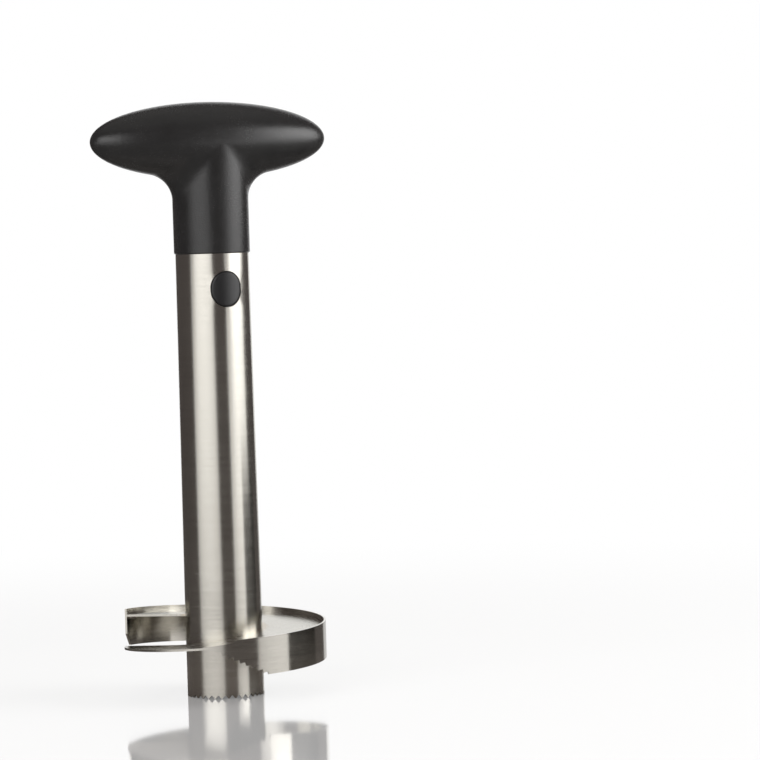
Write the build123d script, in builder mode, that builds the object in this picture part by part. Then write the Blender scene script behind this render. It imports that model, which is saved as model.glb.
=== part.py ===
# Pineapple slicer. A long coring tube with a toothed rim carries a one-turn spiral slicing plate
# and a deep outer band with a serrated leading end. A T handle lifts off the top of the tube: its
# latch plug drops into the tube and two sprung buttons catch in windows in the tube wall.
# Millimetres, Z up, coring teeth at Z = 0, tube axis on Z, handle bar along X, front button at -Y.
# Angles are in degrees, counter-clockwise seen from above, from +X.

import os
from math import cos, pi, radians, sin
from build123d import *

# Coring tube: a plain cylinder past the blade, then drawn slightly narrower towards the handle
tube_length = 184.0
tube_top_diameter = 30.5
tube_bottom_diameter = 32.0
tube_wall = 0.8
tube_straight_margin = 11.0
core_tooth_count = 35
core_tooth_depth = 1.45
core_tooth_tip_width = 0.2

# Spiral plate: one turn, rising counter-clockwise, so the tool screws down when turned clockwise
slice_pitch = 13.0
plate_thickness = 0.9
cutting_edge_angle = 145.0
cutting_edge_height = 20.8
cutting_edge_thickness = 0.15
cutting_bevel_length = 4.0

# Outer band: rolled strip round the plate, from its pointed tip to the end of the plate
band_outer_diameter = 85.0
band_thickness = 0.8
band_height = 15.5
band_lip = 2.4
band_end_trim_turn = 6.0
band_end_trim_height = 5.0
band_tip_angle = -124.7
band_tip_blunt = 0.4
band_tip_lip = 1.1
band_tip_drop = 2.1
ramp_start_angle = -108.0
ramp_end_angle = -104.2
serration_start_angle = -114.0
serration_end_angle = -84.5
serration_count = 9
serration_hook = 0.5
serration_drop_share = 0.22

# Welds that hold the plate to the tube and the band to the plate
tube_weld_leg = 1.4
band_weld_leg = 1.0
band_weld_count = 7
band_weld_arc = 9.0
band_weld_start_angle = -80.0
band_weld_end_angle = 132.0
weld_root = 0.1

# T handle: a rigid core inside a soft grip, an ellipsoid bar on a round stem
bar_half_length = 52.0
bar_swell = 0.1
bar_end_turn = 54.0
bar_end_arcs = 6
stem_length = 47.0
stem_step = 0.55
stem_fillet = 12.5
stem_edge_chamfer = 0.5
grip_thickness = 2.5
core_rod_cover = 7.2
core_rod_end_cover = 14.0
core_shoulder_height = 3.0
core_shoulder_inset = 0.15

# Latch plug under the handle core
plug_length = 42.0
plug_clearance = 0.1
plug_chamfer = 1.2
plug_spigot_radius = 9.0
plug_spigot_height = 5.0
plug_spigot_clearance = 0.05
plug_pocket_wall = 2.0
plug_pocket_side_wall = 1.5
plug_floor = 2.5
web_thickness = 2.4
spring_seat_diameter = 4.4
spring_seat_height = 1.5

# Release buttons, one at the front and one at the back
button_width = 13.0
button_height = 14.5
button_drop = 14.7
button_proud = 0.3
button_travel = 3.0
button_stop_gap = 0.1
button_wall = 3.0
button_tube_clearance = 0.25
button_plug_clearance = 0.1
retaining_face_reach = 10.4
retaining_clearance = 0.1
retaining_flange_thickness = 1.5
retaining_flange_height = 1.8

# Button springs
spring_wire = 0.6
spring_diameter = 6.4
spring_turns = 5
spring_wire_sides = 6
spring_pocket_clearance = 0.5

# Two pan-head screws pull the plug up to the core
screw_diameter = 2.6
screw_length = 20.0
screw_point_length = 2.0
screw_head_diameter = 4.8
screw_head_height = 1.9
screw_head_chamfer = 0.7
screw_head_clearance = 0.2
screw_shank_clearance = 0.1
screw_land = 8.0
screw_cross_length = 2.8
screw_cross_width = 0.7
screw_cross_depth = 1.1

# One overrun serves every cut
overrun = 1.0

tube_top_radius = tube_top_diameter / 2
tube_bottom_radius = tube_bottom_diameter / 2
tube_straight_height = cutting_edge_height + slice_pitch + tube_straight_margin
band_outer_radius = band_outer_diameter / 2
plate_radius = band_outer_radius - band_thickness
plate_underside = cutting_edge_height - plate_thickness
stem_radius = tube_top_radius + stem_step
bar_radius = stem_radius + bar_swell
bar_axis_height = tube_length + stem_length
core_rod_radius = bar_radius - core_rod_cover
core_rod_half_length = bar_half_length - core_rod_end_cover
button_axis_height = tube_length - button_drop
plug_radius = tube_top_radius - tube_wall - plug_clearance
plug_base_height = tube_length - plug_length
channel_width = button_width + 2 * button_plug_clearance
flange_height = button_height + 2 * retaining_flange_height
channel_height = flange_height + 2 * button_plug_clearance
flange_outer_reach = retaining_face_reach - retaining_clearance
web_reach = web_thickness / 2
button_inner_reach = web_reach + button_stop_gap + button_travel
button_face_reach = tube_top_radius + button_proud
spring_outer_reach = button_face_reach - button_wall
screw_offset = (channel_width / 2 + plug_radius) / 2
screw_seat_height = tube_length - screw_land
screw_bore_diameter = screw_head_diameter + 2 * screw_head_clearance
screw_places = [(-screw_offset, 0), (screw_offset, 0)]
front = -90
back = 90


def plate_top(angle):
    """Height of the plate's upper face at an angle."""
    turned = (angle - cutting_edge_angle) % 360
    return cutting_edge_height + slice_pitch * turned / 360


def upright_plane(angle, reach, height):
    """Plane that faces outwards at an angle: local x runs counter-clockwise, local y up."""
    outwards = (cos(radians(angle)), sin(radians(angle)), 0)
    along = (-sin(radians(angle)), cos(radians(angle)), 0)
    return Plane(origin=(0, 0, height), x_dir=along, z_dir=outwards).offset(reach)


def spiral_strip(outline, start_angle, turn_angle):
    """Sweep an outline of (radius, height) corners up the spiral from the angle where it stands."""
    path_radius = sum(radius for radius, height in outline) / len(outline)
    path_height = sum(height for radius, height in outline) / len(outline)
    rise = slice_pitch * turn_angle / 360
    with BuildPart() as strip:
        with BuildLine() as path:
            Helix(slice_pitch, rise, path_radius, center=(0, 0, path_height))
        with BuildSketch(Plane.XZ):
            with BuildLine():
                Polyline(*outline, close=True)
            make_face()
        sweep(path=path.line, is_frenet=True)
    return strip.part.rotate(Axis.Z, start_angle)


# Coring tube
with BuildPart() as core_tube:
    with BuildSketch(Plane.XZ):
        with BuildLine():
            Polyline(
                (tube_bottom_radius, 0),
                (tube_bottom_radius, tube_straight_height),
                (tube_top_radius, tube_length),
                (tube_top_radius - tube_wall, tube_length),
                (tube_bottom_radius - tube_wall, tube_straight_height),
                (tube_bottom_radius - tube_wall, 0),
                close=True,
            )
        make_face()
    revolve(axis=Axis.Z)
    # Windows for the two buttons
    with BuildSketch(upright_plane(front, 0, button_axis_height)):
        SlotOverall(
            button_height + 2 * button_tube_clearance,
            button_width + 2 * button_tube_clearance,
            rotation=90,
        )
    extrude(amount=tube_bottom_diameter, both=True, mode=Mode.SUBTRACT)
    # V notches leave a ring of small pointed teeth
    half_notch = (pi * tube_bottom_diameter / core_tooth_count - core_tooth_tip_width) / 2
    for tooth in range(core_tooth_count):
        tooth_angle = 360 * tooth / core_tooth_count
        with BuildSketch(upright_plane(tooth_angle, tube_bottom_radius - tube_wall - overrun, 0)):
            with BuildLine():
                Polyline((-half_notch, 0), (0, core_tooth_depth), (half_notch, 0), close=True)
            make_face()
        extrude(amount=tube_wall + 2 * overrun, mode=Mode.SUBTRACT)
core_tube.part.label = "core_tube"

# Spiral slicing plate: it starts at the cutting edge and climbs one full turn
plate_outline = (
    (tube_bottom_radius - overrun, plate_underside),
    (plate_radius + overrun, plate_underside),
    (plate_radius + overrun, cutting_edge_height),
    (tube_bottom_radius - overrun, cutting_edge_height),
)
bevel_foot = plate_underside + cutting_edge_thickness
bevel_rise = slice_pitch * cutting_bevel_length / (2 * pi * tube_bottom_radius)
with BuildPart() as spiral_blade:
    add(spiral_strip(plate_outline, cutting_edge_angle, 360))
    with BuildSketch():
        Circle(plate_radius)
        Circle(tube_bottom_radius, mode=Mode.SUBTRACT)
    extrude(amount=tube_length, mode=Mode.INTERSECT)
    # The leading edge is ground to a wedge from above
    with BuildSketch(upright_plane(cutting_edge_angle, 0, 0)):
        with BuildLine():
            Polyline(
                (-overrun, bevel_foot),
                (0, bevel_foot),
                (cutting_bevel_length, cutting_edge_height + bevel_rise),
                (cutting_bevel_length, cutting_edge_height + slice_pitch / 2),
                (-overrun, cutting_edge_height + slice_pitch / 2),
                close=True,
            )
        make_face()
    extrude(amount=band_outer_radius, mode=Mode.SUBTRACT)
spiral_blade.part.label = "spiral_blade"

# Outer band: both its edges run parallel to the plate
tip_height = plate_top(band_tip_angle)
band_outline = (
    (plate_radius - overrun, tip_height + band_lip - band_height),
    (band_outer_radius + overrun, tip_height + band_lip - band_height),
    (band_outer_radius + overrun, tip_height + band_lip),
    (plate_radius - overrun, tip_height + band_lip),
)
serration_turn = (serration_end_angle - serration_start_angle) / serration_count
serration_top = plate_top(serration_start_angle) - band_tip_drop
serration_foot = plate_top(serration_end_angle) + band_lip - band_height
serration_step = (serration_top - serration_foot) / serration_count
tip_behind = band_tip_angle - serration_turn
well_below = tip_height - band_height - slice_pitch
well_above = tip_height + slice_pitch

band_end_foot = cutting_edge_height + slice_pitch + band_lip - band_height

# Each cut is a run of (angle, height) corners that takes away the band inside it. The first two
# shape the pointed tip from below and above, the third trims the lower corner of the far end,
# and the rest are the serrations.
leading_cuts = [
    [
        (tip_behind, well_below),
        (serration_start_angle, well_below),
        (serration_start_angle, serration_top),
        (band_tip_angle, tip_height - band_tip_blunt / 2),
        (tip_behind, tip_height - band_tip_blunt / 2),
    ],
    [
        (tip_behind, well_above),
        (tip_behind, tip_height + band_tip_blunt / 2),
        (band_tip_angle, tip_height + band_tip_blunt / 2),
        (ramp_start_angle, plate_top(ramp_start_angle) + band_tip_lip),
        (ramp_end_angle, plate_top(ramp_end_angle) + band_lip),
        (ramp_end_angle, well_above),
    ],
    [
        (cutting_edge_angle - band_end_trim_turn, well_below),
        (cutting_edge_angle + band_end_trim_turn, well_below),
        (cutting_edge_angle + band_end_trim_turn, band_end_foot + 2 * band_end_trim_height),
        (cutting_edge_angle - band_end_trim_turn, band_end_foot),
    ],
]
for serration in range(serration_count):
    start = serration_start_angle + serration * serration_turn
    top = serration_top - serration * serration_step
    hook = start + serration_drop_share * serration_turn
    leading_cuts.append(
        [
            (start, well_below),
            (start + serration_turn, well_below),
            (start + serration_turn, top - serration_step),
            (hook, top - serration_step - serration_hook),
            (start, top),
        ]
    )

with BuildPart() as rim_band:
    add(spiral_strip(band_outline, band_tip_angle, (cutting_edge_angle - band_tip_angle) % 360))
    with BuildSketch():
        Circle(band_outer_radius)
        Circle(plate_radius, mode=Mode.SUBTRACT)
    extrude(amount=tube_length, mode=Mode.INTERSECT)
    for corners in leading_cuts:
        angles = [angle for angle, height in corners]
        middle = (min(angles) + max(angles)) / 2
        with BuildSketch(upright_plane(middle, plate_radius / 2, 0)):
            with BuildLine():
                Polyline(
                    *[
                        (band_outer_radius * sin(radians(angle - middle)), height)
                        for angle, height in corners
                    ],
                    close=True,
                )
            make_face()
        extrude(amount=band_outer_radius, mode=Mode.SUBTRACT)
rim_band.part.label = "rim_band"

# Fillet weld along the underside of the plate, all the way round the tube
tube_weld_outline = (
    (tube_bottom_radius - weld_root, plate_underside + weld_root),
    (tube_bottom_radius - weld_root, plate_underside - tube_weld_leg),
    (tube_bottom_radius, plate_underside - tube_weld_leg),
    (tube_bottom_radius + tube_weld_leg, plate_underside),
    (tube_bottom_radius + tube_weld_leg, plate_underside + weld_root),
)
with BuildPart() as tube_weld:
    add(spiral_strip(tube_weld_outline, cutting_edge_angle, 360))
    with BuildSketch():
        Circle(tube_bottom_radius)
    extrude(amount=tube_length, mode=Mode.SUBTRACT)
    add(spiral_blade.part, mode=Mode.SUBTRACT)
tube_weld.part.label = "tube_weld"

# Short welds under the plate hold the band
band_weld_step = (band_weld_end_angle - band_weld_start_angle) / (band_weld_count - 1)
with BuildPart() as band_welds:
    for weld in range(band_weld_count):
        weld_angle = band_weld_start_angle + weld * band_weld_step
        underside = plate_top(weld_angle) - plate_thickness
        band_weld_outline = (
            (plate_radius + weld_root, underside + weld_root),
            (plate_radius - band_weld_leg, underside + weld_root),
            (plate_radius - band_weld_leg, underside),
            (plate_radius, underside - band_weld_leg),
            (plate_radius + weld_root, underside - band_weld_leg),
        )
        add(spiral_strip(band_weld_outline, weld_angle, band_weld_arc))
    add(spiral_blade.part, mode=Mode.SUBTRACT)
    add(rim_band.part, mode=Mode.SUBTRACT)
band_welds.part.label = "band_welds"

# Handle core: a cross rod on a stem, with a shoulder that seats on the rim of the tube
with BuildPart() as core_blank:
    with BuildSketch(Plane.XY.offset(tube_length)):
        Circle(stem_radius - grip_thickness)
    extrude(amount=stem_length)
    with BuildSketch(Plane.XY.offset(tube_length)):
        Circle(tube_top_radius - core_shoulder_inset)
    extrude(amount=core_shoulder_height)
    with BuildSketch(Plane.YZ):
        with Locations((0, bar_axis_height)):
            Circle(core_rod_radius)
    extrude(amount=core_rod_half_length, both=True)
with BuildPart() as handle_core:
    add(core_blank.part)
    with BuildSketch(Plane.XY.offset(tube_length)):
        Circle(plug_spigot_radius + plug_spigot_clearance)
    extrude(amount=plug_spigot_height + plug_spigot_clearance, mode=Mode.SUBTRACT)
    with BuildSketch(Plane.XY.offset(tube_length)):
        with Locations(screw_places):
            Circle(screw_diameter / 2)
    extrude(amount=screw_length - screw_land, mode=Mode.SUBTRACT)
handle_core.part.label = "handle_core"

# Soft grip moulded over the core. Half an ellipse, drawn as short arcs towards both ends and one
# long arc between them, is turned about the bar's axis, and the stem is blended into it.
bar_end_angles = [bar_end_turn * arc / bar_end_arcs for arc in range(bar_end_arcs + 1)]
bar_angles = bar_end_angles + [180 - angle for angle in reversed(bar_end_angles)]
with BuildPart() as handle_grip:
    with BuildSketch(Plane.XY.offset(bar_axis_height)):
        with BuildLine():
            for start, end in zip(bar_angles, bar_angles[1:]):
                EllipticalCenterArc((0, 0), bar_half_length, bar_radius, start, arc_size=end - start)
            Line((-bar_half_length, 0), (bar_half_length, 0))
        make_face()
    revolve(axis=Axis((0, 0, bar_axis_height), (1, 0, 0)))
    with BuildSketch(Plane.XY.offset(tube_length)):
        Circle(stem_radius)
    extrude(amount=stem_length)
    fillet(handle_grip.edges(Select.NEW), stem_fillet)
    chamfer(handle_grip.edges().group_by(Axis.Z)[0], stem_edge_chamfer)
    add(core_blank.part, mode=Mode.SUBTRACT)
handle_grip.part.label = "handle_grip"

# Latch plug: a barrel with a channel for each button and a web between them
plug_pocket_depth = button_axis_height - channel_height / 2 - plug_floor - plug_base_height
plug_pocket_half_width = screw_offset - screw_bore_diameter / 2 - plug_pocket_side_wall
with BuildPart() as latch_plug:
    with BuildSketch(Plane.XY.offset(plug_base_height)):
        Circle(plug_radius)
    extrude(amount=plug_length)
    chamfer(latch_plug.edges().group_by(Axis.Z)[0], plug_chamfer)
    with BuildSketch(Plane.XY.offset(tube_length)):
        Circle(plug_spigot_radius)
    extrude(amount=plug_spigot_height)
    for side in (front, back):
        # Channel for the flange, window for the head, and a peg that centres the spring
        with BuildSketch(upright_plane(side, web_reach, button_axis_height)):
            SlotOverall(channel_height, channel_width, rotation=90)
        extrude(amount=retaining_face_reach - web_reach, mode=Mode.SUBTRACT)
        with BuildSketch(upright_plane(side, web_reach, button_axis_height)):
            SlotOverall(button_height + 2 * button_plug_clearance, channel_width, rotation=90)
        extrude(amount=plug_radius, mode=Mode.SUBTRACT)
        with BuildSketch(upright_plane(side, web_reach, button_axis_height)):
            Circle(spring_seat_diameter / 2)
        extrude(amount=spring_seat_height)
    # Moulded pocket under the channels
    with BuildSketch(Plane.XY.offset(plug_base_height)):
        SlotOverall(2 * (plug_radius - plug_pocket_wall), 2 * plug_pocket_half_width, rotation=90)
    extrude(amount=plug_pocket_depth, mode=Mode.SUBTRACT)
    # Screw bores beside the channels, with a land that the heads pull against
    with BuildSketch(Plane.XY.offset(plug_base_height)):
        with Locations(screw_places):
            Circle(screw_bore_diameter / 2)
    extrude(amount=plug_length - screw_land, mode=Mode.SUBTRACT)
    with BuildSketch(Plane.XY.offset(screw_seat_height)):
        with Locations(screw_places):
            Circle(screw_diameter / 2 + screw_shank_clearance)
    extrude(amount=screw_land + overrun, mode=Mode.SUBTRACT)
latch_plug.part.label = "latch_plug"

# Front button: the head follows the curve of the tube, the flange keeps it in the plug
with BuildPart() as button_front:
    with BuildSketch(upright_plane(front, button_inner_reach, button_axis_height)):
        SlotOverall(button_height, button_width, rotation=90)
    extrude(amount=tube_bottom_diameter)
    with BuildSketch():
        Circle(button_face_reach)
    extrude(amount=tube_length, mode=Mode.INTERSECT)
    with BuildSketch(upright_plane(front, flange_outer_reach, button_axis_height)):
        SlotOverall(flange_height, button_width, rotation=90)
    extrude(amount=-retaining_flange_thickness)
    # Blind bore for the spring
    with BuildSketch(upright_plane(front, button_inner_reach, button_axis_height)):
        Circle(spring_diameter / 2 + spring_pocket_clearance)
    extrude(amount=spring_outer_reach - button_inner_reach, mode=Mode.SUBTRACT)
button_front.part.label = "button_front"

with BuildPart() as button_back:
    add(button_front.part, rotation=(0, 0, back - front))
button_back.part.label = "button_back"

# Front spring, from the web to the bottom of the button's bore
spring_length = spring_outer_reach - web_reach
with BuildPart() as spring_front:
    with BuildLine() as coil:
        Helix(
            (spring_length - spring_wire) / spring_turns,
            spring_length - spring_wire,
            (spring_diameter - spring_wire) / 2,
            center=(0, -web_reach - spring_wire / 2, button_axis_height),
            direction=(0, -1, 0),
        )
    with BuildSketch(Plane(origin=coil.line @ 0, z_dir=coil.line % 0)):
        RegularPolygon(spring_wire / 2, spring_wire_sides)
    sweep(path=coil.line, is_frenet=True)
spring_front.part.label = "spring_front"

with BuildPart() as spring_back:
    add(spring_front.part, rotation=(0, 0, back - front))
spring_back.part.label = "spring_back"

# Screws, heads down, with a cross recess
with BuildPart() as plug_screw:
    with BuildSketch(Plane.XZ):
        with BuildLine():
            Polyline(
                (0, screw_seat_height - screw_head_height),
                (screw_head_diameter / 2 - screw_head_chamfer, screw_seat_height - screw_head_height),
                (screw_head_diameter / 2, screw_seat_height - screw_head_height + screw_head_chamfer),
                (screw_head_diameter / 2, screw_seat_height),
                (screw_diameter / 2, screw_seat_height),
                (screw_diameter / 2, screw_seat_height + screw_length - screw_point_length),
                (0, screw_seat_height + screw_length),
                close=True,
            )
        make_face()
    revolve(axis=Axis.Z)
    with BuildSketch(Plane.XY.offset(screw_seat_height - screw_head_height)):
        Rectangle(screw_cross_length, screw_cross_width)
        Rectangle(screw_cross_width, screw_cross_length)
    extrude(amount=screw_cross_depth, mode=Mode.SUBTRACT)
with BuildPart() as plug_screws:
    with Locations(screw_places):
        add(plug_screw.part)
plug_screws.part.label = "plug_screws"

os.makedirs("parts", exist_ok=True)
pieces = [
    core_tube,
    spiral_blade,
    rim_band,
    tube_weld,
    band_welds,
    handle_core,
    handle_grip,
    latch_plug,
    button_front,
    button_back,
    spring_front,
    spring_back,
    plug_screws,
]
for piece in pieces:
    export_step(piece.part, f"parts/{piece.part.label}.step")
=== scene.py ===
import math

import bmesh
import bpy
import numpy as np
from mathutils import Matrix, Vector


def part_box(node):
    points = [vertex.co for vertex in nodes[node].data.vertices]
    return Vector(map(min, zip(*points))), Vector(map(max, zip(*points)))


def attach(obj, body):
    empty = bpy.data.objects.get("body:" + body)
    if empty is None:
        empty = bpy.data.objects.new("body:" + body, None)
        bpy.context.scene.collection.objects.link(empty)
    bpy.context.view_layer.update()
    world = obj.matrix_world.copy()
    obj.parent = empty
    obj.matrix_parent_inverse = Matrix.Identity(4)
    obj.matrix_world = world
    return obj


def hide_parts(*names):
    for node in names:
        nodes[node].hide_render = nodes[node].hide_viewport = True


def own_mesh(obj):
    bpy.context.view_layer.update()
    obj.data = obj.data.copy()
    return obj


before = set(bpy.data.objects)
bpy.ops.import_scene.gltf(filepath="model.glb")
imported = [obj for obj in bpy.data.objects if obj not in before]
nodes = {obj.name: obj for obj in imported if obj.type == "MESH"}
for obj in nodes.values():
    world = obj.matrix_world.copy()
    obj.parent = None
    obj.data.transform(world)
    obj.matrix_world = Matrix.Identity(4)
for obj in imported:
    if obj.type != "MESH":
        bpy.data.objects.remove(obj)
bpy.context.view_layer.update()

scene = bpy.context.scene
print("Frame loaded:", len(nodes), "nodes")


# Mesh helpers

def gridMesh(name, points, closeV=False):
    # points[u, v] is a grid of places; neighbours in u and v share a quad,
    # and closeV joins the last v to the first
    countU, countV = points.shape[:2]
    index = np.arange(countU * countV).reshape(countU, countV)
    if closeV:
        index = np.hstack([index, index[:, :1]])
    quads = np.stack([index[:-1, :-1], index[1:, :-1], index[1:, 1:], index[:-1, 1:]], -1).reshape(-1, 4)
    mesh = bpy.data.meshes.new(name)
    mesh.from_pydata(points.reshape(-1, 3).tolist(), [], quads.tolist())
    return mesh


def joinMeshes(name, meshes):
    # one object out of several grids, with poles and seams merged and the faces turned outwards
    work = bmesh.new()
    for mesh in meshes:
        work.from_mesh(mesh)
        bpy.data.meshes.remove(mesh)
    bmesh.ops.remove_doubles(work, verts=work.verts, dist=2e-7)
    bmesh.ops.dissolve_degenerate(work, edges=work.edges, dist=1e-8)
    bmesh.ops.recalc_face_normals(work, faces=work.faces)
    joined = bpy.data.meshes.new(name)
    work.to_mesh(joined)
    work.free()
    joined.shade_smooth()
    joined.set_sharp_from_angle(angle=math.radians(38))
    piece = bpy.data.objects.new(name, joined)
    scene.collection.objects.link(piece)
    return piece


def dress(piece, material):
    piece.data.materials.clear()
    piece.data.materials.append(material)


def sidesRound(count):
    return np.linspace(0, 2 * np.pi, count, endpoint=False)


# Material helpers. A lamp or the world has a node tree too and can stand in for the material.

# The part of a noise's range that is spread over a change: narrow gives more contrast
narrowNoise = (0.35, 0.65)
wideNoise = (0.3, 0.7)


def newMaterial(name, baseColor, metallic, roughness):
    material = bpy.data.materials.new(name)
    material.use_nodes = True
    shader = material.node_tree.nodes["Principled BSDF"]
    shader.inputs["Base Color"].default_value = (*baseColor, 1)
    shader.inputs["Metallic"].default_value = metallic
    shader.inputs["Roughness"].default_value = roughness
    return material, shader


def addNode(material, kind, **settings):
    node = material.node_tree.nodes.new(kind)
    for key, value in settings.items():
        setattr(node, key, value)
    return node


def plug(material, source, target):
    material.node_tree.links.new(source, target)


def objectPlace(material):
    return addNode(material, "ShaderNodeTexCoord").outputs["Object"]


def mathNode(material, operation, first, second=None):
    node = addNode(material, "ShaderNodeMath", operation=operation)
    for socket, value in zip(node.inputs, (first, second)):
        if value is None:
            continue
        if isinstance(value, (int, float)):
            socket.default_value = value
        else:
            plug(material, value, socket)
    return node.outputs[0]


def product(material, first, second):
    return mathNode(material, "MULTIPLY", first, second)


def blend(material, first, second, share):
    # this share of the first value and the rest of the second
    return mathNode(material, "ADD", product(material, first, share), product(material, second, 1 - share))


def remap(material, value, fromLow, fromHigh, toLow, toHigh, smooth=False):
    node = addNode(material, "ShaderNodeMapRange", interpolation_type="SMOOTHSTEP" if smooth else "LINEAR")
    plug(material, value, node.inputs["Value"])
    limits = {"From Min": fromLow, "From Max": fromHigh, "To Min": toLow, "To Max": toHigh}
    for key, number in limits.items():
        node.inputs[key].default_value = number
    return node.outputs["Result"]


def noise(material, vector, scale, detail=2.0, rough=0.5):
    node = addNode(material, "ShaderNodeTexNoise")
    plug(material, vector, node.inputs["Vector"])
    node.inputs["Scale"].default_value = scale
    node.inputs["Detail"].default_value = detail
    node.inputs["Roughness"].default_value = rough
    return node.outputs["Fac"]


def addBump(material, shader, height, distance):
    bump = addNode(material, "ShaderNodeBump")
    bump.inputs["Distance"].default_value = distance
    bump.inputs["Strength"].default_value = 1.0
    plug(material, height, bump.inputs["Height"])
    plug(material, bump.outputs["Normal"], shader.inputs["Normal"])


def colorMix(material, factor, first, second):
    node = addNode(material, "ShaderNodeMix", data_type="RGBA")
    plug(material, factor, node.inputs[0])
    for socket, value in ((node.inputs[6], first), (node.inputs[7], second)):
        if isinstance(value, tuple):
            socket.default_value = (*value, 1)
        else:
            plug(material, value, socket)
    return node.outputs[2]


def mixShader(material, factor, first, second):
    node = addNode(material, "ShaderNodeMixShader")
    for socket, source in zip(node.inputs, (factor, first, second)):
        plug(material, source, socket)
    return node.outputs[0]


# Steel of the cutter

steelLook = {
    "color": (0.66, 0.64, 0.585),
    "shade": (0.56, 0.54, 0.49),
    "roughness": 0.22,
    "glossier": 0.05,               # how far the roughness falls and rises round its middle
    "duller": 0.06,
    "lineScale": 9000,
    "lineStretch": (0.02, 0.02, 1),
    "lineDepth": 0.0000022,
    "lineShare": 0.6,
    "broadScale": 700,
    "smudgeScale": 38,
    "bandRoughness": 0.14,
    "bandLineDepth": 0.0000012,
    "anisotropy": 0.45,
    "anisotropyTurn": 0.25,
}
plateLook = {
    "ringScale": 5200,
    "ringStretch": 0.0009,          # how far the noise moves in one radian, little, so that it draws rings
    "ringDepth": 0.0000012,
    "smudgeScale": 45,
    "roughness": (0.20, 0.32),
    "haloColor": (0.52, 0.40, 0.24),
    "haloInner": 0.0008,            # distance from the tube where the halo starts to fade
    "haloOuter": 0.0034,            # and where it has gone
    "haloTint": (0.15, 0.5),
}
weldLook = {
    "color": (0.50, 0.47, 0.43),
    "dark": (0.40, 0.36, 0.31),
    "pale": (0.58, 0.55, 0.51),
    "roughness": (0.3, 0.48),
    "grainScale": 2600,
    "grainDepth": 0.00002,
    "patchScale": 240,
}
smudgeShare = 0.3
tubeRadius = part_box("core_tube")[1].x


def ringSteel(name, roughness, lineDepth):
    # fine polishing lines run round the tube: the noise is drawn out along X and Y and stays fine along Z
    look = steelLook
    material, shader = newMaterial(name, look["color"], 1.0, roughness)
    place = objectPlace(material)
    lines = addNode(material, "ShaderNodeMapping")
    lines.inputs["Scale"].default_value = look["lineStretch"]
    plug(material, place, lines.inputs["Vector"])
    fine = noise(material, lines.outputs["Vector"], look["lineScale"], 2, 0.6)
    broad = noise(material, lines.outputs["Vector"], look["broadScale"], 3, 0.6)
    smudge = noise(material, place, look["smudgeScale"], 3, 0.55)
    mixed = blend(material, fine, broad, look["lineShare"])
    tone = blend(material, smudge, mixed, smudgeShare)
    color = colorMix(material, remap(material, tone, *narrowNoise, 0, 1), look["shade"], look["color"])
    gloss = remap(material, tone, *wideNoise, roughness - look["glossier"], roughness + look["duller"])
    plug(material, color, shader.inputs["Base Color"])
    plug(material, gloss, shader.inputs["Roughness"])
    addBump(material, shader, mixed, lineDepth)
    shader.inputs["Anisotropic"].default_value = look["anisotropy"]
    shader.inputs["Anisotropic Rotation"].default_value = look["anisotropyTurn"]
    tangent = addNode(material, "ShaderNodeTangent", direction_type="RADIAL", axis="Z")
    plug(material, tangent.outputs[0], shader.inputs["Tangent"])
    return material


def plateSteel(name):
    # the flat plate is ground in rings round the tube, with a straw-coloured halo where it was welded
    look = plateLook
    material, shader = newMaterial(name, steelLook["color"], 1.0, steelLook["roughness"])
    place = objectPlace(material)
    split = addNode(material, "ShaderNodeSeparateXYZ")
    plug(material, place, split.inputs[0])
    x, y = split.outputs[0], split.outputs[1]
    square = mathNode(material, "ADD", product(material, x, x), product(material, y, y))
    radius = mathNode(material, "SQRT", square)
    angle = mathNode(material, "ARCTAN2", y, x)
    rings = addNode(material, "ShaderNodeCombineXYZ")
    plug(material, radius, rings.inputs[0])
    plug(material, product(material, angle, look["ringStretch"]), rings.inputs[1])
    fine = noise(material, rings.outputs[0], look["ringScale"], 2, 0.5)
    smudge = noise(material, place, look["smudgeScale"], 3, 0.55)
    tone = blend(material, smudge, fine, smudgeShare)
    toneShare = remap(material, tone, *narrowNoise, 0, 1)
    steel = colorMix(material, toneShare, steelLook["shade"], steelLook["color"])
    inner, outer = tubeRadius + look["haloInner"], tubeRadius + look["haloOuter"]
    halo = remap(material, radius, inner, outer, 1, 0, smooth=True)
    tint = product(material, halo, remap(material, smudge, *narrowNoise, *look["haloTint"]))
    plug(material, colorMix(material, tint, steel, look["haloColor"]), shader.inputs["Base Color"])
    plug(material, remap(material, tone, *wideNoise, *look["roughness"]), shader.inputs["Roughness"])
    addBump(material, shader, fine, look["ringDepth"])
    return material


def weldSteel(name):
    look = weldLook
    material, shader = newMaterial(name, look["color"], 1.0, sum(look["roughness"]) / 2)
    place = objectPlace(material)
    grain = noise(material, place, look["grainScale"], 3, 0.6)
    patches = noise(material, place, look["patchScale"], 2, 0.5)
    color = colorMix(material, remap(material, patches, *narrowNoise, 0, 1), look["dark"], look["pale"])
    plug(material, color, shader.inputs["Base Color"])
    plug(material, remap(material, grain, *wideNoise, *look["roughness"]), shader.inputs["Roughness"])
    addBump(material, shader, grain, look["grainDepth"])
    return material


def smallSteel(name, plan):
    # bright metal of the small parts, a little uneven in its gloss
    material, shader = newMaterial(name, plan["color"], 1.0, sum(plan["roughness"]) / 2)
    grain = noise(material, objectPlace(material), plan["grainScale"], plan["grainDetail"])
    plug(material, remap(material, grain, *wideNoise, *plan["roughness"]), shader.inputs["Roughness"])
    return material


tubeSteel = ringSteel("tubeSteel", steelLook["roughness"], steelLook["lineDepth"])
bandSteel = ringSteel("bandSteel", steelLook["bandRoughness"], steelLook["bandLineDepth"])
bladeSteel = plateSteel("bladeSteel")
weldMaterial = weldSteel("weldMetal")
dress(nodes["core_tube"], tubeSteel)
dress(nodes["rim_band"], bandSteel)
dress(nodes["spiral_blade"], bladeSteel)
print("Steel dressed")


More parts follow.
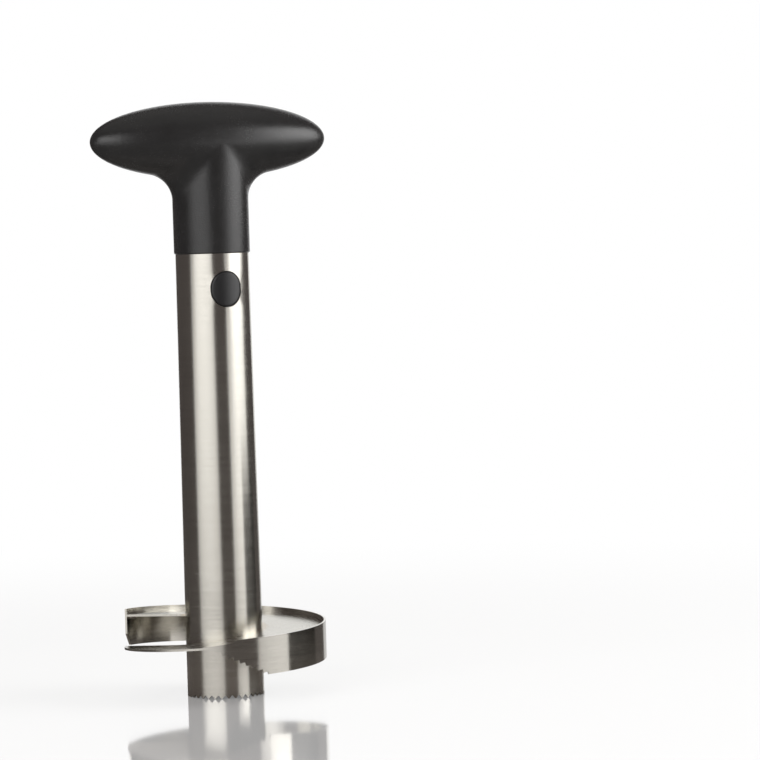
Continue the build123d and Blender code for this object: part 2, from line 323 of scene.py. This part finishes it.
# Black plastic of the handle

plasticLooks = {
    "gripPlastic": {
        "color": (0.023, 0.0225, 0.0225),
        "roughness": 0.24,
        "grainScale": 1900,
        "grainDepth": 0.00008,
    },
    "corePlastic": {
        "color": (0.028, 0.028, 0.030),
        "roughness": 0.40,
        "grainScale": 1500,
        "grainDepth": 0.00002,
    },
    "buttonPlastic": {
        "color": (0.019, 0.019, 0.020),
        "roughness": 0.33,
        "grainScale": 3200,
        "grainDepth": 0.000015,
    },
}
plasticWear = {
    "scale": 60,
    "range": (0.35, 0.7),
    "lighter": 1.35,
    "glossier": 0.05,
    "duller": 0.06,
}


def blackPlastic(name, look):
    # an even spark-eroded grain under a slightly uneven gloss
    color, roughness, wear = look["color"], look["roughness"], plasticWear
    material, shader = newMaterial(name, color, 0.0, roughness)
    place = objectPlace(material)
    grain = noise(material, place, look["grainScale"], 2, 0.6)
    worn = noise(material, place, wear["scale"], 3, 0.6)
    lighter = tuple(channel * wear["lighter"] for channel in color)
    mottled = colorMix(material, remap(material, worn, *wear["range"], 0, 1), color, lighter)
    uneven = blend(material, grain, worn, 0.5)
    gloss = remap(material, uneven, *wideNoise, roughness - wear["glossier"], roughness + wear["duller"])
    plug(material, mottled, shader.inputs["Base Color"])
    plug(material, gloss, shader.inputs["Roughness"])
    addBump(material, shader, grain, look["grainDepth"])
    return material


plastic = {name: blackPlastic(name, look) for name, look in plasticLooks.items()}
dress(nodes["handle_grip"], plastic["gripPlastic"])
dress(nodes["handle_core"], plastic["corePlastic"])
dress(nodes["latch_plug"], plastic["corePlastic"])
print("Plastic dressed")


# Welds

weldPlan = {
    "pitch": 0.013,             # climb of the plate in one turn
    "startAngle": 145.0,        # degrees, where the plate starts
    "startTop": 0.0208,         # height of the plate's upper face there
    "plateThickness": 0.0009,
    "beadRadius": 0.00085,
    "beadSides": 16,
    "endPower": 24,             # higher closes the ends of a bead more bluntly
    "rippleLength": 0.0011,
    "rippleDepth": 0.00009,
    "rippleLean": 0.6,
    "wobbles": ((0.00004, 900, 0), (0.00003, 2300, 1)),    # depth, waves and start of each
    "tubeBeadSink": 0.00035,    # how far a bead's middle lies off the wall and under the plate
    "tubeBeadGap": 3.0,         # degrees left free at either end of the plate
    "tubeBeadSteps": 900,
    "bandRadius": 0.0417,       # inner face of the band
    "bandBeadSink": 0.0003,
    "bandBeadCount": 7,
    "bandBeadArc": 9.0,
    "bandBeadSteps": 64,
    "bandBeadFirst": -80.0,
    "bandBeadLast": 132.0,
}


def plateUnderside(angle):
    turned = np.mod(angle - math.radians(weldPlan["startAngle"]), 2 * np.pi)
    return weldPlan["startTop"] - weldPlan["plateThickness"] + weldPlan["pitch"] * turned / (2 * np.pi)


def weldBead(radius, drop, first, last, steps):
    # a round bead carried along the spiral under the plate:
    # its radius swells and sinks once per ripple and closes at both ends
    plan = weldPlan
    start, sweep = math.radians(first), math.radians(last - first)
    share = np.linspace(0, 1, steps)[:, None]
    angle = start + share * sweep
    around = sidesRound(plan["beadSides"])[None, :]
    length = share * sweep * radius
    wave = np.sin(np.pi * length / plan["rippleLength"] + plan["rippleLean"] * np.cos(around))
    ripple = plan["rippleDepth"] * (1 - np.abs(wave))
    wobble = sum(depth * np.sin(length * rate + begin) for depth, rate, begin in plan["wobbles"])
    ends = np.sqrt(np.clip(1 - (2 * share - 1) ** plan["endPower"], 0, 1))
    section = (plan["beadRadius"] + wobble - ripple) * ends
    middle = plateUnderside(start) + plan["pitch"] * (angle - start) / (2 * np.pi) - drop
    reach = radius + section * np.cos(around)
    points = np.stack([reach * np.cos(angle), reach * np.sin(angle), middle + section * np.sin(around)], -1)
    return gridMesh("bead", points, closeV=True)


def addWeld(name, beads, node):
    weld = joinMeshes(name, beads)
    dress(weld, weldMaterial)
    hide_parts(node)
    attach(weld, "cutter")


def makeWelds(plan):
    sink = plan["tubeBeadSink"]
    first = plan["startAngle"] + plan["tubeBeadGap"]
    last = plan["startAngle"] + 360 - plan["tubeBeadGap"]
    tubeBead = weldBead(tubeRadius + sink, sink, first, last, plan["tubeBeadSteps"])
    addWeld("tubeWeldBead", [tubeBead], "tube_weld")
    sink = plan["bandBeadSink"]
    radius = plan["bandRadius"] - sink
    step = (plan["bandBeadLast"] - plan["bandBeadFirst"]) / (plan["bandBeadCount"] - 1)
    starts = np.arange(plan["bandBeadCount"]) * step + plan["bandBeadFirst"]
    arc, steps = plan["bandBeadArc"], plan["bandBeadSteps"]
    bandBeads = [weldBead(radius, sink, start, start + arc, steps) for start in starts]
    addWeld("bandWeldBeads", bandBeads, "band_welds")


makeWelds(weldPlan)
print("Welds made")


# Release buttons

buttonPlan = {
    "width": 0.0129,
    "height": 0.0144,
    "centreHeight": 0.1693,
    "faceReach": 0.01555,        # radius that the face follows
    "edgeRadius": 0.0006,
    "innerReach": 0.0043,
    "boreRadius": 0.0037,
    "boreFloor": 0.01255,
    "flangeOuter": 0.0103,
    "flangeInner": 0.0088,
    "flangeRise": 0.0018,
    "sides": 96,
    "faceRings": 8,
    "edgeRings": 7,
}


def buttonMesh(name, side):
    # closed profile rings from the middle of the face over the rounded edge, down the side, round the flange
    # and into the spring's bore; each ring is the slot outline drawn in by its inset
    plan = buttonPlan
    half = plan["width"] / 2
    straight = (plan["height"] - plan["width"]) / 2
    around = sidesRound(plan["sides"]) + np.pi / plan["sides"]
    edge = plan["edgeRadius"]

    def ring(inset=0.0, rise=0.0):
        lift = np.sign(np.sin(around)) * (straight + rise)
        return (half - inset) * np.cos(around), (half - inset) * np.sin(around) + lift

    def onFace(x):
        return np.sqrt(plan["faceReach"] ** 2 - x ** 2)

    rings = []
    for step in range(plan["faceRings"]):
        x, z = ring()
        scale = step / plan["faceRings"] * (half - edge) / half
        rings.append((x * scale, onFace(x * scale), z * scale))
    for angle in np.linspace(0, np.pi / 2, plan["edgeRings"]):
        x, z = ring(edge * (1 - math.sin(angle)))
        rings.append((x, onFace(x) - edge * (1 - math.cos(angle)), z))
    rise = plan["flangeRise"]
    for lift, reach in ((0, plan["flangeOuter"]), (rise, plan["flangeOuter"]),
                        (rise, plan["flangeInner"]), (0, plan["flangeInner"]), (0, plan["innerReach"])):
        x, z = ring(rise=lift)
        rings.append((x, reach + 0 * x, z))
    bore, mouth, floor = plan["boreRadius"], plan["innerReach"], plan["boreFloor"]
    for radius, reach in ((bore, mouth), (bore, floor), (0.0, floor)):
        rings.append((radius * np.cos(around), reach + 0 * around, radius * np.sin(around)))
    points = np.stack([np.stack([side * x, side * y, plan["centreHeight"] + z], -1) for x, y, z in rings])
    return gridMesh(name, points, closeV=True)


for name, side, node, body in (("releaseButtonFront", -1, "button_front", "front_button"),
                               ("releaseButtonBack", 1, "button_back", "back_button")):
    button = joinMeshes(name, [buttonMesh(name, side)])
    dress(button, plastic["buttonPlastic"])
    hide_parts(node)
    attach(button, body)
print("Buttons made")


# Springs behind the buttons

springPlan = {
    "wire": 0.0006,
    "diameter": 0.0063,
    "turns": 5,
    "near": 0.0012,      # reach of the end on the web
    "far": 0.01255,      # reach of the end in the button
    "travel": 0.003,
    "flatTurns": 0.75,   # turns at either end that lie nearly flat
    "flatClimb": 0.12,   # share of the climb that is spread over all turns
    "stepsInTurn": 60,
    "wireSides": 14,
    "domeSteps": 4,
    "color": (0.60, 0.60, 0.61),
    "roughness": (0.2, 0.36),
    "grainScale": 5200,
    "grainDetail": 2,
}
springSteel = smallSteel("springSteel", springPlan)


def springMesh(name, side):
    # a round wire carried along a helix whose end turns lie flat; both ends close in a small dome
    plan = springPlan
    ends = plan["domeSteps"]
    share = np.linspace(0, 1, plan["turns"] * plan["stepsInTurn"] + 1)
    rising = np.linspace(0, 1, ends + 1)[:-1]
    dome = np.concatenate([rising, np.ones(len(share)), rising[::-1]])
    share = np.concatenate([np.zeros(ends), share, np.ones(ends)])
    span = plan["far"] - plan["near"] - plan["wire"]
    flat = plan["flatTurns"] / plan["turns"]
    climb = np.clip((share - flat) / (1 - 2 * flat), 0, 1)
    rise = plan["flatClimb"] * share + (1 - plan["flatClimb"]) * climb * climb * (3 - 2 * climb)
    reach = plan["near"] + plan["wire"] / 2 + span * rise
    coil = (plan["diameter"] - plan["wire"]) / 2
    section = sidesRound(plan["wireSides"])[None, :]
    thick = (plan["wire"] / 2 * np.sin(dome * np.pi / 2))[:, None]
    outward = coil + thick * np.cos(section)
    push = (1 - dome) * plan["wire"] / 2 / coil
    push[:ends] *= -1
    angle = (2 * np.pi * plan["turns"] * share + push)[:, None]
    points = np.stack([outward * np.cos(angle), side * (reach[:, None] + thick * np.sin(section)),
                       buttonPlan["centreHeight"] + outward * np.sin(angle)], -1)
    return gridMesh(name, points, closeV=True)


for name, side, node, joint in (("buttonSpringFront", -1, "spring_front", "front_press"),
                                ("buttonSpringBack", 1, "spring_back", "back_press")):
    spring = joinMeshes(name, [springMesh(name, side)])
    dress(spring, springSteel)
    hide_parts(node)
    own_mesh(spring)
    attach(spring, "handle")
print("Springs made")


# Plug screws

screwPlan = {
    "offset": 0.010475,
    "seat": 0.176,
    "shank": 0.0013,
    "threadDepth": 0.00032,
    "threadPitch": 0.0011,
    "threadStart": 0.0015,      # length over which the thread deepens under the head
    "length": 0.020,
    "point": 0.002,
    "shankSides": 48,
    "shankSteps": 260,
    "headRadius": 0.0024,
    "headHeight": 0.0019,
    "headRound": 0.0007,
    "headSides": 144,
    "faceRings": 17,
    "faceStart": 0.0002,        # radius of the first ring round the middle
    "rimRings": 5,
    "crossLength": 0.0028,
    "crossWidth": 0.0007,
    "crossDepth": 0.0011,
    "crossSoft": 0.00012,       # half the width over which the side of the cross slopes
    "crossEndSoft": 0.0005,
    "color": (0.64, 0.65, 0.66),
    "roughness": (0.24, 0.4),
    "grainScale": 1800,
    "grainDetail": 3,
}
screwSteel = smallSteel("screwSteel", screwPlan)


def shankMesh(name, offset, plan):
    # the radius falls and rises once per pitch along a helix and shrinks to the point
    around = sidesRound(plan["shankSides"])[None, :]
    along = np.linspace(0, 1, plan["shankSteps"])[:, None] * plan["length"]
    wave = np.abs(np.mod(along / plan["threadPitch"] - around / (2 * np.pi), 1) * 2 - 1)
    started = np.clip(along / plan["threadStart"], 0, 1)
    taper = np.clip((plan["length"] - along) / plan["point"], 0, 1)
    radius = (plan["shank"] - plan["threadDepth"] * wave * started) * np.sqrt(taper)
    points = np.stack([offset + radius * np.cos(around), radius * np.sin(around),
                       plan["seat"] + along + 0 * around], -1)
    return gridMesh(name, points, closeV=True)


def headMesh(name, offset, plan):
    # a disc with a rounded rim and a cross pressed into its flat face
    flat = plan["headRadius"] - plan["headRound"]
    rise = np.linspace(0, np.pi / 2, plan["rimRings"] + 1)[1:]
    face = np.linspace(plan["faceStart"], flat, plan["faceRings"] - 1)
    ringRadius = np.concatenate([[0.0], face, flat + plan["headRound"] * np.sin(rise),
                                 [plan["headRadius"], plan["shank"]]])
    ringDrop = np.concatenate([np.zeros(plan["faceRings"]), plan["headRound"] * (1 - np.cos(rise)),
                               [plan["headHeight"], plan["headHeight"]]])
    around = sidesRound(plan["headSides"])[None, :]
    x, y = ringRadius[:, None] * np.cos(around), ringRadius[:, None] * np.sin(around)

    def slotShare(across, lengthways):
        soft = plan["crossSoft"]
        side = np.clip((plan["crossWidth"] / 2 + soft - np.abs(across)) / (2 * soft), 0, 1)
        end = np.clip((plan["crossLength"] / 2 - np.abs(lengthways)) / plan["crossEndSoft"], 0, 1)
        return side * np.sqrt(end)

    onFace = ringDrop[:, None] < 1e-6
    recess = np.maximum(slotShare(x, y), slotShare(y, x)) * plan["crossDepth"] * onFace
    base = plan["seat"] - plan["headHeight"]
    points = np.stack([offset + x, y, base + ringDrop[:, None] + recess], -1)
    return gridMesh(name, points, closeV=True)


screwMeshes = []
for name, offset in (("left", -screwPlan["offset"]), ("right", screwPlan["offset"])):
    screwMeshes += [shankMesh(name, offset, screwPlan), headMesh(name, offset, screwPlan)]
screws = joinMeshes("plugScrews", screwMeshes)
dress(screws, screwSteel)
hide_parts("plug_screws")
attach(screws, "handle")
print("Screws made")


# Floor and studio

floorPlan = {
    "reach": 14.0,
    "drop": 0.0001,                 # how far it lies under the teeth
    "color": (0.80, 0.80, 0.80),
    "roughness": 0.06,
    "shade": (0.46, 0.42, 0.39),    # painted shade: how dark the metal sees the sheet close by
    "paintedShadeFar": (0.20, 0.19, 0.18),     # and farther off, painted darker still
    "paintedShadeRange": (0.10, 0.20),
    "mirror": 0.63,                 # share of the sheet that mirrors, seen at a low angle
    "mirrorSteep": 0.03,            # and from higher up
    "mirrorRange": (0.80, 0.85),
    "polish": 0.93,                 # how bright a white thing is in that mirror
    "glow": 0.50,                   # own light of the sheet under the mirror
    "fadeRange": (0.22, 0.75),      # distances over which the sheet turns pure white
    "behindBearing": 178,           # the way in which mirrors see it turn white too
    "behindRange": (0.93, 0.975),
}
roomPlan = {
    "ambient": 0.10,
    "ambientColor": (1.0, 0.87, 0.85),
    "overhead": 0.32,
    "overheadColor": (1.0, 0.97, 0.93),
    "overheadRange": (0.68, 0.90),  # upward part of the direction over which it turns from one to the other
}
# Lamp panels: bearing counted from the camera's side, positive to its right;
# edge is how wide each upright edge fades
softboxDistance = 1.0
softboxes = {
    "leftSoftboxLow": {
        "bearing": -37,
        "width": 1.46,
        "foot": 0.0,
        "top": 0.19,
        "glow": 1.38,
        "edge": 0.07,
    },
    "leftSoftboxMiddle": {
        "bearing": -33,
        "width": 1.18,
        "foot": 0.19,
        "top": 0.28,
        "glow": 1.0,
        "edge": 0.03,
    },
    "leftSoftboxHigh": {
        "bearing": -31,
        "width": 1.06,
        "foot": 0.28,
        "top": 0.85,
        "glow": 2.5,
        "edge": 0.04,
    },
    "rightSoftboxLow": {
        "bearing": 68,
        "width": 1.20,
        "foot": 0.0,
        "top": 0.19,
        "glow": 1.5,
        "edge": 0.03,
    },
    "rightSoftboxMiddle": {
        "bearing": 78,
        "width": 1.06,
        "foot": 0.19,
        "top": 0.28,
        "glow": 3.0,
        "edge": 0.03,
    },
    "rightSoftboxHigh": {
        "bearing": 83,
        "width": 0.98,
        "foot": 0.28,
        "top": 0.80,
        "glow": 4.2,
        "edge": 0.04,
    },
}
softboxFade = {
    "rim": 0.25,                # brightness at the very edge
    "edge": 0.72,               # and where the edge ends
    "middle": (0.34, 0.66),     # full brightness between these
}
panelColumns = 17
backdropPlan = {
    "bearings": (150, 190),
    "distance": 1.5,
    "top": 1.2,
    "glow": 1.05,
}
flagPlan = {
    "bearings": (71, 116.5),
    "distance": 0.275,
    "top": 0.085,
    "color": (0.012, 0.010, 0.007),
    "roughness": 0.8,
    "specular": 0.1,
}
cameraPlan = {
    "distance": 1.5663,
    "azimuth": -21.828,
    "height": 0.1949,
    "yaw": 2.4946,
    "pitch": 2.4013,
    "roll": -1.7414,
    "focalPixels": 3762.85,
    "framePixels": 760.0,
    "sensorWidth": 36,
    "clipEnd": 50,
}


def makeCamera(plan):
    # stands level with the top of the tube, then turns right, dips and leans by the plan's small angles
    azimuth, yaw, pitch, roll = (math.radians(plan[key]) for key in ("azimuth", "yaw", "pitch", "roll"))
    heading = azimuth - yaw
    place = Vector((math.sin(azimuth), -math.cos(azimuth), 0)) * plan["distance"]
    place.z = plan["height"]
    ahead = Vector((-math.sin(heading), math.cos(heading), 0))
    right = Vector((math.cos(heading), math.sin(heading), 0))
    forward = ahead * math.cos(pitch) - Vector((0, 0, math.sin(pitch)))
    up = Vector((0, 0, math.cos(pitch))) + ahead * math.sin(pitch)
    across = right * math.cos(roll) + up * math.sin(roll)
    upward = up * math.cos(roll) - right * math.sin(roll)
    camera = bpy.data.objects.new("Camera", bpy.data.cameras.new("Camera"))
    camera.data.sensor_width = plan["sensorWidth"]
    camera.data.lens = plan["focalPixels"] / plan["framePixels"] * plan["sensorWidth"]
    camera.data.clip_end = plan["clipEnd"]
    turn = Matrix((across, upward, -forward)).transposed().to_4x4()
    camera.matrix_world = Matrix.Translation(place) @ turn
    scene.collection.objects.link(camera)
    scene.camera = camera


def bearingPlace(bearing, distance, height):
    turn = math.radians(cameraPlan["azimuth"] + bearing)
    return Vector((math.sin(turn) * distance, -math.cos(turn) * distance, height))


def makeSoftbox(name, plan):
    tall = plan["top"] - plan["foot"]
    place = bearingPlace(plan["bearing"], softboxDistance, plan["foot"] + tall / 2)
    lamp = bpy.data.lights.new(name, "AREA")
    lamp.shape = "RECTANGLE"
    lamp.size = plan["width"]
    lamp.size_y = tall
    lamp.energy = plan["glow"] * math.pi * plan["width"] * tall
    lamp.use_nodes = True
    # brightest in the middle and softer towards its two upright edges
    across = addNode(lamp, "ShaderNodeSeparateXYZ")
    plug(lamp, addNode(lamp, "ShaderNodeNewGeometry").outputs["Parametric"], across.inputs[0])
    fade = addNode(lamp, "ShaderNodeFloatCurve")
    curve = fade.mapping.curves[0]
    curve.points[0].location = (0, softboxFade["rim"])
    curve.points[1].location = (1, softboxFade["rim"])
    curve.points.new(plan["edge"], softboxFade["edge"])
    for middle in softboxFade["middle"]:
        curve.points.new(middle, 1.0)
    curve.points.new(1 - plan["edge"], softboxFade["edge"])
    fade.mapping.update()
    plug(lamp, across.outputs[0], fade.inputs["Value"])
    plug(lamp, fade.outputs[0], lamp.node_tree.nodes["Emission"].inputs["Strength"])
    box = bpy.data.objects.new(name, lamp)
    box.location = place
    box.rotation_euler = (Vector((0, 0, place.z)) - place).to_track_quat("-Z", "Y").to_euler()
    box.visible_camera = False
    scene.collection.objects.link(box)


def floorMaterial(plan):
    # a white sheet under a polish that mirrors the object and the white behind it, with painted shade where
    # the metal mirrors the sheet; farther off it fades into pure white
    material, shader = newMaterial("floorWhite", plan["color"], 0.0, plan["roughness"])
    rays = addNode(material, "ShaderNodeLightPath")
    seen = rays.outputs["Is Camera Ray"]
    glossy, passed = rays.outputs["Is Glossy Ray"], rays.outputs["Is Transmission Ray"]
    mirrored = mathNode(material, "MAXIMUM", glossy, passed)
    place = objectPlace(material)
    measure = addNode(material, "ShaderNodeVectorMath", operation="LENGTH")
    plug(material, place, measure.inputs[0])
    distance = measure.outputs["Value"]

    # the sheet: white with some light of its own for the camera, and painted shade for mirrored rays, which
    # see it darker and darker again farther from the middle
    paintedShadeFade = remap(material, distance, *plan["paintedShadeRange"], 0, 1, smooth=True)
    shade = colorMix(material, paintedShadeFade, plan["shade"], plan["paintedShadeFar"])
    plug(material, colorMix(material, mirrored, plan["color"], shade), shader.inputs["Base Color"])
    shader.inputs["Specular IOR Level"].default_value = 0.0
    shader.inputs["Emission Color"].default_value = (1, 1, 1, 1)
    plug(material, product(material, seen, plan["glow"]), shader.inputs["Emission Strength"])

    # the polish over it
    polish = addNode(material, "ShaderNodeBsdfGlossy")
    polish.inputs["Roughness"].default_value = plan["roughness"]
    polish.inputs["Color"].default_value = (plan["polish"], plan["polish"], plan["polish"], 1)
    facing = addNode(material, "ShaderNodeLayerWeight").outputs["Facing"]
    mirror = remap(material, facing, *plan["mirrorRange"], plan["mirrorSteep"], plan["mirror"], smooth=True)
    sheet = mixShader(material, mirror, shader.outputs[0], polish.outputs[0])

    # pure white further off: all round for the camera, and only behind the object for mirrors
    white = addNode(material, "ShaderNodeEmission")
    white.inputs["Strength"].default_value = 1.0
    heading = addNode(material, "ShaderNodeVectorMath", operation="NORMALIZE")
    plug(material, place, heading.inputs[0])
    toBehind = addNode(material, "ShaderNodeVectorMath", operation="DOT_PRODUCT")
    plug(material, heading.outputs[0], toBehind.inputs[0])
    toBehind.inputs[1].default_value = bearingPlace(plan["behindBearing"], 1, 0)
    away = remap(material, distance, *plan["fadeRange"], 0, 1, smooth=True)
    behind = remap(material, toBehind.outputs["Value"], *plan["behindRange"], 0, 1, smooth=True)
    inMirrors = product(material, product(material, away, behind), mirrored)
    share = mathNode(material, "MAXIMUM", product(material, away, seen), inMirrors)
    surface = mixShader(material, share, sheet, white.outputs[0])
    plug(material, surface, material.node_tree.nodes["Material Output"].inputs["Surface"])
    return material


def makeFloor(plan):
    reach = plan["reach"]
    mesh = bpy.data.meshes.new("floor")
    mesh.from_pydata([(-reach, -reach / 2, 0), (reach, -reach / 2, 0), (0, reach, 0)], [], [(0, 1, 2)])
    floor = bpy.data.objects.new("floor", mesh)
    floor.location.z = -plan["drop"]
    scene.collection.objects.link(floor)
    dress(floor, floorMaterial(plan))


def makePanel(name, plan, material):
    # an upright sheet bent round the object, seen only in reflections
    bearing = np.linspace(*plan["bearings"], panelColumns)
    points = np.array([
        [bearingPlace(angle, plan["distance"], height)[:] for height in (0.0, plan["top"])]
        for angle in bearing
    ])
    panel = bpy.data.objects.new(name, gridMesh(name, points))
    scene.collection.objects.link(panel)
    dress(panel, material)
    panel.visible_camera = False
    return panel


def makePanels():
    glowing = bpy.data.materials.new("backdropWhite")
    glowing.use_nodes = True
    glowing.node_tree.nodes.clear()
    glow = addNode(glowing, "ShaderNodeEmission")
    glow.inputs["Strength"].default_value = backdropPlan["glow"]
    out = addNode(glowing, "ShaderNodeOutputMaterial")
    plug(glowing, glow.outputs[0], out.inputs["Surface"])
    makePanel("backdrop", backdropPlan, glowing)
    dark, shader = newMaterial("flagDark", flagPlan["color"], 0.0, flagPlan["roughness"])
    shader.inputs["Specular IOR Level"].default_value = flagPlan["specular"]
    flag = makePanel("darkFlag", flagPlan, dark)
    flag.visible_shadow = False
    flag.visible_diffuse = False


def background(world, color, strength):
    node = addNode(world, "ShaderNodeBackground")
    node.inputs["Color"].default_value = (*color, 1)
    node.inputs["Strength"].default_value = strength
    return node.outputs[0]


def makeWorld(plan):
    # the room is dim at the sides and brighter straight above; the camera sees pure white
    world = bpy.data.worlds.new("studio")
    world.use_nodes = True
    world.node_tree.nodes.clear()
    sides = background(world, plan["ambientColor"], plan["ambient"])
    overhead = background(world, plan["overheadColor"], plan["overhead"])
    white = background(world, (1, 1, 1), 1.0)
    direction = addNode(world, "ShaderNodeSeparateXYZ")
    plug(world, addNode(world, "ShaderNodeTexCoord").outputs["Generated"], direction.inputs[0])
    upward = remap(world, direction.outputs["Z"], *plan["overheadRange"], 0, 1, smooth=True)
    seen = addNode(world, "ShaderNodeLightPath").outputs["Is Camera Ray"]
    surface = mixShader(world, seen, mixShader(world, upward, sides, overhead), white)
    plug(world, surface, addNode(world, "ShaderNodeOutputWorld").inputs["Surface"])
    scene.world = world


makeCamera(cameraPlan)
for boxName, boxPlan in softboxes.items():
    makeSoftbox(boxName, boxPlan)
makeFloor(floorPlan)
makePanels()
makeWorld(roomPlan)
scene.view_settings.view_transform = "Standard"
print("Studio set")
